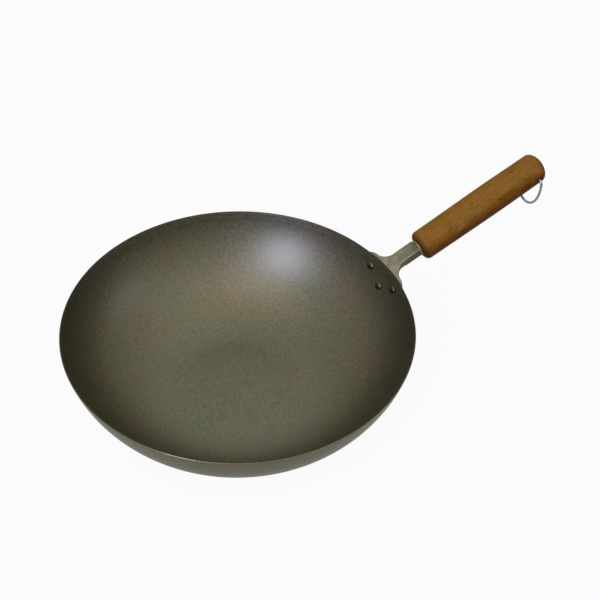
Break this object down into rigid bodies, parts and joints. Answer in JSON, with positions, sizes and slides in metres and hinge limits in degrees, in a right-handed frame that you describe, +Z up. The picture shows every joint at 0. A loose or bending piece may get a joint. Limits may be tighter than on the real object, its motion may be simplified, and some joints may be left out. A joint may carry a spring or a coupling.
{
  "type": "titanium wok",
  "caption": "Flat-based titanium wok: a spun bowl with a riveted pressed bracket, a round wooden grip and a wire hanging ring that swings at its butt.",
  "frame": {"origin": "centre of the underside of the bowl's flat base", "axes": "+X from the bowl out towards the handle, +Z up out of the bowl's mouth, +Y to the left of the handle seen from the bowl"},
  "size_m": [0.5083, 0.3298, 0.1565],
  "materials": {
    "titanium_skin": "satin spun titanium, olive grey",
    "titanium_bracket": "pressed titanium sheet, warm light grey",
    "rivets": "dark steel rivet heads",
    "collar_steel": "turned steel, grey-green",
    "tang_steel": "plain steel bar",
    "handle_wood": "varnished amber-brown hardwood, satin",
    "ring_wire": "drawn stainless wire, bright grey"
  },
  "bodies": {
    "wok": {"bowl": "titanium_skin", "handle_bracket": "titanium_bracket", "rivet_left": "rivets", "rivet_right": "rivets", "rivet_lower": "rivets", "collar": "collar_steel", "tang": "tang_steel", "grip_pin": "tang_steel", "grip": "handle_wood"},
    "ring": {"hanging_ring": "ring_wire"}
  },
  "joints": [
    {"name": "ring_swing", "type": "hinge", "parent": "wok", "child": "ring", "pos_m": [0.32913, 0, 0.14036], "axis": [0, -1, 0], "range_deg": [-43, 261]}
  ]
}
